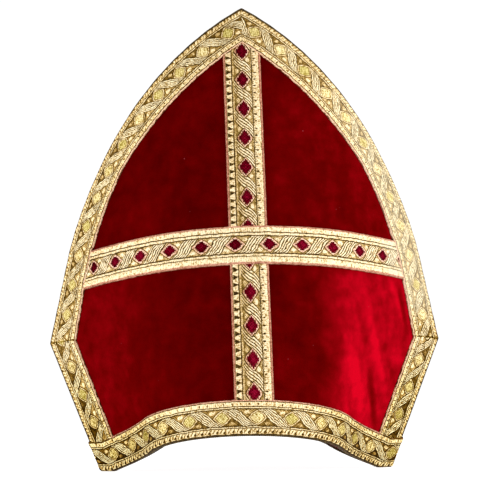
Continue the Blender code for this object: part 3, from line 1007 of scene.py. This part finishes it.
def tube_mesh(rings):
    """A closed tube through rings of points."""
    here = np.arange(rings.shape[0] * rings.shape[1]).reshape(rings.shape[:2])
    after = np.roll(here, -1, axis=0)
    faces = np.stack([here, np.roll(here, -1, axis=1), np.roll(after, -1, axis=1), after], axis=-1)
    mesh = bpy.data.meshes.new("tube")
    mesh.from_pydata(rings.reshape(-1, 3).tolist(), [], faces.reshape(-1, 4).tolist())
    mesh.shade_smooth()
    mesh.update()
    return mesh


def binding_mesh():
    """The whipped binding round a panel's edge: a flattened tube along its outline."""
    x, z, on_edge = panel_outline()
    inset = np.where(on_edge, EDGE_BINDING_INSET, RIM_BINDING_INSET)[:, None]
    width = np.where(on_edge, EDGE_BINDING_WIDTH, RIM_BINDING_WIDTH)[:, None]
    out = normals(x * JUST_INSIDE, z)
    edge = on_panel(x, z, 0.0 * x)
    forward = unit(np.roll(edge, -1, axis=0) - np.roll(edge, 1, axis=0))
    outward = unit(np.cross(forward, out))
    run = lengths(edge) * MM
    angle = np.arange(BINDING_SIDES) / BINDING_SIDES * 2 * math.pi
    whip = 1 + WHIPPED * np.cos(run[:, None] * 2 * math.pi / WHIPPING + angle)
    middle = edge - out * (WALL / 2 - BINDING_RISE) - outward * inset
    rings = (
        middle[:, None]
        + out[:, None] * (BINDING_THICKNESS / 2 * whip * np.cos(angle))[..., None]
        + outward[:, None] * (width / 2 * whip * np.sin(angle))[..., None]
    )
    sew_together(rings, x, z, on_edge)
    rings[..., 2] = np.maximum(rings[..., 2], LEAST_HEIGHT)
    return tube_mesh(rings)


# ---- gusset ----
GUSSET_GRID = (129, 49)  # points along it and across it
GUSSET_CLOTH = 0.0008
GUSSET_GAP = 0.0006  # from the middle of its cloth to the panels
GATHER_SPACING = 0.019
GATHER_HEIGHT = 0.0011
RUMPLE_HEIGHT = 0.0012


def gusset_mesh():
    u = np.linspace(-1.0, 1.0, GUSSET_GRID[0])[None, :]
    v = np.linspace(-1.0, 1.0, GUSSET_GRID[1])[:, None]
    x = u * GUSSET_HALF_LENGTH + 0.0 * v
    fullness = 1 - u**2
    valley = GUSSET_END_HEIGHT + GUSSET_VALLEY_RISE * fullness
    z = valley + mix(GUSSET_END_SIDE_RISE, GUSSET_SIDE_RISE, fullness) * v**2
    reach = panel_depth(x, z) + WALL / normals(x, z)[..., 1] - GUSSET_GAP
    gathers = np.sin(x * 2 * math.pi / GATHER_SPACING + 1.5 * np.sin(x * 23)) * np.abs(v) ** 1.5
    rumples = np.sin(x * 60 + v * 3) * (1 - np.abs(v))
    z = z + GATHER_HEIGHT * gathers * fullness + RUMPLE_HEIGHT * rumples
    return grid_mesh(np.stack([x, v * reach, z], axis=-1))


# ======== materials ========
def new_material(name):
    made = bpy.data.materials.new(name)
    made.use_nodes = True
    return made, made.node_tree, made.node_tree.nodes["Principled BSDF"]


def colour_mix(tree, share, low, high):
    """A colour from low to high. Each may be a colour or a socket."""
    node = tree.nodes.new("ShaderNodeMix")
    node.data_type = "RGBA"
    set_inputs(tree, node, {0: share, 6: low, 7: high})
    return node.outputs[2]


def position(tree):
    return tree.nodes.new("ShaderNodeNewGeometry").outputs["Position"]


def noise(tree, scale, detail=2.0, vector=None):
    node = tree.nodes.new("ShaderNodeTexNoise")
    set_inputs(tree, node, {"Scale": scale, "Detail": detail, "Vector": vector or position(tree)})
    return Signal(tree, node.outputs["Fac"])


def stretched(tree, scales):
    """Position, scaled by a different amount along each axis."""
    node = tree.nodes.new("ShaderNodeVectorMath")
    node.operation = "MULTIPLY"
    set_inputs(tree, node, {0: position(tree), 1: scales})
    return node.outputs[0]


def bump(tree, height, distance, strength):
    node = tree.nodes.new("ShaderNodeBump")
    set_inputs(tree, node, {"Distance": distance, "Strength": strength, "Height": height})
    return node.outputs["Normal"]


def colour_ramp(tree, value, stops):
    """A colour for each value, from stops of (value, colour)."""
    node = tree.nodes.new("ShaderNodeValToRGB")
    feed(tree, value, node.inputs["Fac"])
    points = node.color_ramp.elements
    while len(points) < len(stops):
        points.new(0.5)
    for point, (place, colour) in zip(points, stops):
        point.position = place
        point.color = (*colour, 1.0)
    return node.outputs["Color"]


def attribute(tree, name):
    """The three parts of a stored attribute."""
    node = tree.nodes.new("ShaderNodeAttribute")
    node.attribute_name = name
    split = tree.nodes.new("ShaderNodeSeparateXYZ")
    tree.links.new(node.outputs["Vector"], split.inputs[0])
    return [Signal(tree, output) for output in split.outputs]


GOLD_TONES = (
    (0.0, (0.036, 0.019, 0.006)),
    (0.3, (0.165, 0.090, 0.013)),
    (0.55, (0.45, 0.285, 0.085)),
    (0.8, (0.88, 0.675, 0.38)),
    (1.0, (1.0, 0.87, 0.60)),
)
# browner tones for tarnish and for painted shade
TARNISH_AND_SHADE_TONES = (
    (0.0, (0.022, 0.009, 0.0)),
    (0.3, (0.13, 0.058, 0.002)),
    (0.55, (0.40, 0.22, 0.033)),
    (0.8, (0.87, 0.615, 0.205)),
    (1.0, (1.0, 0.89, 0.50)),
)
# the pale colour of the painted highlight
PAINTED_HIGHLIGHT_TONE = (0.67, 0.655, 0.53)
DRIFT_ALONG = 2.2  # how far the pattern strays, in millimetres
DRIFT_ACROSS = 1.1
YELLOW_TONES = ((0.0, (0.05, 0.03, 0.001)), (0.5, (0.35, 0.26, 0.03)), (1.0, (0.86, 0.76, 0.30)))
RUBY_TONES = (
    (0.0, (0.012, 0.0, 0.0)),
    (0.45, (0.075, 0.0005, 0.003)),
    (0.8, (0.18, 0.002, 0.013)),
    (1.0, (0.28, 0.005, 0.028)),
)
PINK_TONES = ((0.0, (0.10, 0.020, 0.008)), (0.6, (0.55, 0.21, 0.14)), (1.0, (0.92, 0.53, 0.40)))


def gold_tone(tree, kind, light, painted_shading_capped):
    """The gold thread's colour, from plain to tarnished and painted shade, with a painted highlight where
    the painted shading is below 0.
    """
    least = 0.28 if kind.startswith("gold") else 0.0
    # a little tarnish on all gold thread, and more where the painted shading is above 0: painted shade
    tarnish_and_shade = ramp(painted_shading_capped, 0.0, 0.6) * (0.85 - least) + ramp(painted_shading_capped, 0.8, 1.0) * 0.15 + least
    tarnished_and_shaded = colour_ramp(tree, light, TARNISH_AND_SHADE_TONES)
    gold = colour_mix(tree, tarnish_and_shade, colour_ramp(tree, light, GOLD_TONES), tarnished_and_shaded)
    painted_highlight = ramp(painted_shading_capped, -0.12, -0.42)
    return colour_mix(tree, painted_highlight * 0.34, gold, PAINTED_HIGHLIGHT_TONE), painted_highlight


def braid_material(kind):
    made, tree, shader = new_material(f"{kind}_braid_thread")
    along, across, painted_shading = attribute(tree, "braid_place")
    drift = noise(tree, 240.0, 1.0) - 0.5
    layer = braid_pattern(kind, along + drift * DRIFT_ALONG, across + drift * DRIFT_ACROSS)
    blotch = noise(tree, 70.0, 3.0)
    mottle = noise(tree, 620.0, 2.0)
    grain = noise(tree, 1900.0, 1.0)
    light = layer.light * (0.88 + 0.32 * blotch)
    painted_shading_capped = smaller(painted_shading, 1.0)
    # painted shading: darker where above 0, lighter as a painted highlight where below 0
    light -= (1.0 - light) * painted_shading_capped * 0.5
    specks = ramp(noise(tree, 800.0, 1.0), 0.45, 0.36)
    light = light * (1.0 - specks * (0.35 + 0.2 * painted_shading_capped)) + (mottle - 0.5) * 0.8 + (grain - 0.5) * 0.3
    # painted shadow along seams between braids
    seam = ramp(painted_shading, 1.1, SEAM_SHADOW_LEVEL)
    light *= 1.0 - 0.6 * seam
    colour, painted_highlight = gold_tone(tree, kind, light, painted_shading_capped)
    if kind.startswith("gold"):
        yellow = layer.yellow * (1.0 - 0.45 * painted_highlight)
        colour = colour_mix(tree, yellow, colour, colour_ramp(tree, light, YELLOW_TONES))
    colour = colour_mix(tree, layer.pink * (1.0 - seam), colour, colour_ramp(tree, light, PINK_TONES))
    if kind.startswith("ruby"):
        colour = colour_mix(tree, layer.ruby, colour, colour_ramp(tree, light, RUBY_TONES))
    threads = wave(across, 0.42) + wave(along + across * 0.5, 0.6)
    relief = grain * 0.4 + threads * 0.08 + layer.height
    set_inputs(tree, shader, {
        "Base Color": colour, "Metallic": 0.3, "Roughness": 0.5, "Specular IOR Level": 0.0,
        "Normal": bump(tree, relief, 0.0004, 0.6),
    })
    return made


VELVET_TONES = (
    (0.0, (0.060, 0.0, 0.0)),
    (0.25, (0.110, 0.0002, 0.0003)),
    (0.6, (0.24, 0.0004, 0.003)),
    (1.0, (0.54, 0.001, 0.011)),
)
LINT = (0.50, 0.10, 0.12)


def velvet_material():
    made, tree, shader = new_material("red_velvet")
    streaks = noise(tree, 1.0, 3.0, stretched(tree, (60.0, 60.0, 9.0)))
    clouds = noise(tree, 22.0, 3.0)
    crush = noise(tree, 110.0, 2.0)
    pile = noise(tree, 2600.0, 1.0)
    # painted light: lighter to the right, low down and on the folds
    light = painted_velvet_light(*attribute(tree, "cloth_place")[:2])
    uneven = (streaks - 0.5) * (0.15 + light * 0.4) + (clouds - 0.5) * 0.4
    uneven += (crush - 0.5) * (0.4 + light * 0.4)
    shade = light + uneven + (pile - 0.5) * 0.08 + 0.13
    specks = tree.nodes.new("ShaderNodeTexVoronoi")
    set_inputs(tree, specks, {"Scale": 150.0, "Vector": position(tree)})
    rare = noise(tree, 90.0, 1.0)
    lint = ramp(Signal(tree, specks.outputs["Distance"]), 0.09, 0.03) * ramp(rare, 0.64, 0.70)
    set_inputs(tree, shader, {
        "Base Color": colour_mix(tree, lint * 0.35, colour_ramp(tree, shade, VELVET_TONES), LINT),
        "Roughness": 0.95, "Specular IOR Level": 0.0,
        "Sheen Weight": 0.25, "Sheen Roughness": 0.4, "Sheen Tint": (0.9, 0.0, 0.01),
        "Normal": bump(tree, pile, 0.0003, 0.5),
    })
    return made


def lining_material():
    made, tree, shader = new_material("lining_cloth")
    clouds = noise(tree, 25.0, 3.0)
    weave = noise(tree, 1500.0, 1.0)
    set_inputs(tree, shader, {
        "Base Color": colour_mix(tree, clouds, (0.10, 0.004, 0.008), (0.19, 0.01, 0.016)),
        "Roughness": 0.55, "Sheen Weight": 0.3, "Sheen Tint": (0.9, 0.2, 0.2),
        "Normal": bump(tree, weave, 0.0002, 0.4),
    })
    return made


def binding_material():
    made, tree, shader = new_material("edge_binding_thread_and_shade")
    tone = noise(tree, 700.0, 2.0)
    set_inputs(tree, shader, {
        # a dark binding thread, made near-black as painted shade along the panel's edge and under the rim
        "Base Color": colour_mix(tree, ramp(tone, 0.35, 0.7), (0.022, 0.012, 0.002), (0.11, 0.07, 0.018)),
        "Roughness": 0.6, "Specular IOR Level": 0.1,
        "Normal": bump(tree, tone, 0.0003, 0.5),
    })
    return made


# ======== pieces ========
VELVET_WALL = WALL - 0.0002  # so that the binding covers its edge


def front_and_back(mesh):
    """The front's mesh, and a copy turned half round the upright axis for the back."""
    turned = mesh.copy()
    turned.transform(Matrix.Rotation(math.pi, 4, "Z"))
    return ("front", mesh), ("back", turned)


def place_piece(name, mesh, materials, node):
    piece = bpy.data.objects.new(name, mesh)
    bpy.context.scene.collection.objects.link(piece)
    for material in materials:
        mesh.materials.append(material)
    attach(piece, "root")
    if node:
        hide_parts(node)
    return piece


def thicken(piece, thickness, offset):
    solidify = piece.modifiers.new("thickness", "SOLIDIFY")
    solidify.thickness = thickness
    solidify.offset = offset
    return solidify


def make_panels():
    materials = [velvet_material(), lining_material(), binding_material()]
    for side, mesh in front_and_back(velvet_mesh()):
        piece = place_piece(f"{side}_velvet_panel", mesh, materials, f"{side}_panel")
        solidify = thicken(piece, VELVET_WALL, -1)
        solidify.material_offset = 1
        solidify.material_offset_rim = 2


def make_bindings():
    material = binding_material()
    for side, mesh in front_and_back(binding_mesh()):
        place_piece(f"{side}_edge_binding", mesh, [material], None)


def make_gusset():
    mesh = gusset_mesh()
    piece = place_piece("gusset_cloth", mesh, [lining_material()], "crown_gusset")
    thicken(piece, GUSSET_CLOTH, 0)


def make_braids():
    materials = {kind: braid_material(kind) for kind in STYLES}
    for part, (braid, kind) in front_braids().items():
        for side, mesh in front_and_back(braid):
            name = f"{side}_{part}"
            place_piece(f"{name}_thread", mesh, [materials[kind]], name)


# ======== stage ========
def make_stage():
    bpy.ops.mesh.primitive_plane_add(size=12.0, location=(0.0, 0.0, 0.0))
    ground = bpy.context.object
    ground.name = "ground"
    made, tree, shader = new_material("pale_floor")
    set_inputs(tree, shader, {
        "Base Color": (0.3, 0.3, 0.3), "Roughness": 0.9, "Specular IOR Level": 0.1,
        "Emission Color": (1.0, 1.0, 1.0), "Emission Strength": 0.97,
    })
    ground.data.materials.append(made)


def make_world():
    """White to the camera, and a weaker, warmer white as light."""
    world = bpy.data.worlds.new("studio")
    bpy.context.scene.world = world
    world.use_nodes = True
    tree = world.node_tree
    seen = tree.nodes["Background"]
    set_inputs(tree, seen, {"Color": (1.0, 1.0, 1.0), "Strength": 1.05})
    lit = tree.nodes.new("ShaderNodeBackground")
    set_inputs(tree, lit, {"Color": (1.0, 0.99, 0.97), "Strength": 0.45})
    is_camera = tree.nodes.new("ShaderNodeLightPath").outputs["Is Camera Ray"]
    choose = tree.nodes.new("ShaderNodeMixShader")
    for source, socket in zip((is_camera, lit.outputs[0], seen.outputs[0]), choose.inputs):
        tree.links.new(source, socket)
    tree.links.new(choose.outputs[0], tree.nodes["World Output"].inputs["Surface"])


LIGHT_TARGET = Vector((0.0, 0.0, 0.16))


def area_light(name, place, size, power):
    data = bpy.data.lights.new(name, "AREA")
    data.shape = "RECTANGLE"
    data.size, data.size_y = size
    data.energy = power
    light = bpy.data.objects.new(name, data)
    light.location = place
    light.rotation_euler = (LIGHT_TARGET - light.location).to_track_quat("-Z", "Y").to_euler()
    bpy.context.scene.collection.objects.link(light)


def make_lights():
    area_light("key_right", (1.7, -0.85, 0.9), (0.8, 1.2), 26.0)
    area_light("fill_left", (-1.8, -0.8, 0.7), (0.8, 1.2), 21.0)
    area_light("top", (0.1, 0.1, 1.7), (1.0, 1.0), 12.0)


def make_camera():
    data = bpy.data.cameras.new("camera")
    data.lens = FOCAL_LENGTH
    data.sensor_width = SENSOR
    camera = bpy.data.objects.new("camera", data)
    turned = Matrix.Rotation(-CAMERA_TURN, 4, "Z")
    pitched = Matrix.Rotation(math.pi / 2 + CAMERA_PITCH, 4, "X")
    rolled = Matrix.Rotation(CAMERA_ROLL, 4, "Z")
    camera.matrix_world = Matrix.Translation(CAMERA_PLACE) @ turned @ pitched @ rolled
    bpy.context.scene.collection.objects.link(camera)
    bpy.context.scene.camera = camera


def main():
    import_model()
    make_camera()
    make_panels()
    make_bindings()
    make_gusset()
    make_braids()
    make_stage()
    make_world()
    make_lights()
    bpy.context.scene.view_settings.view_transform = "Standard"


main()
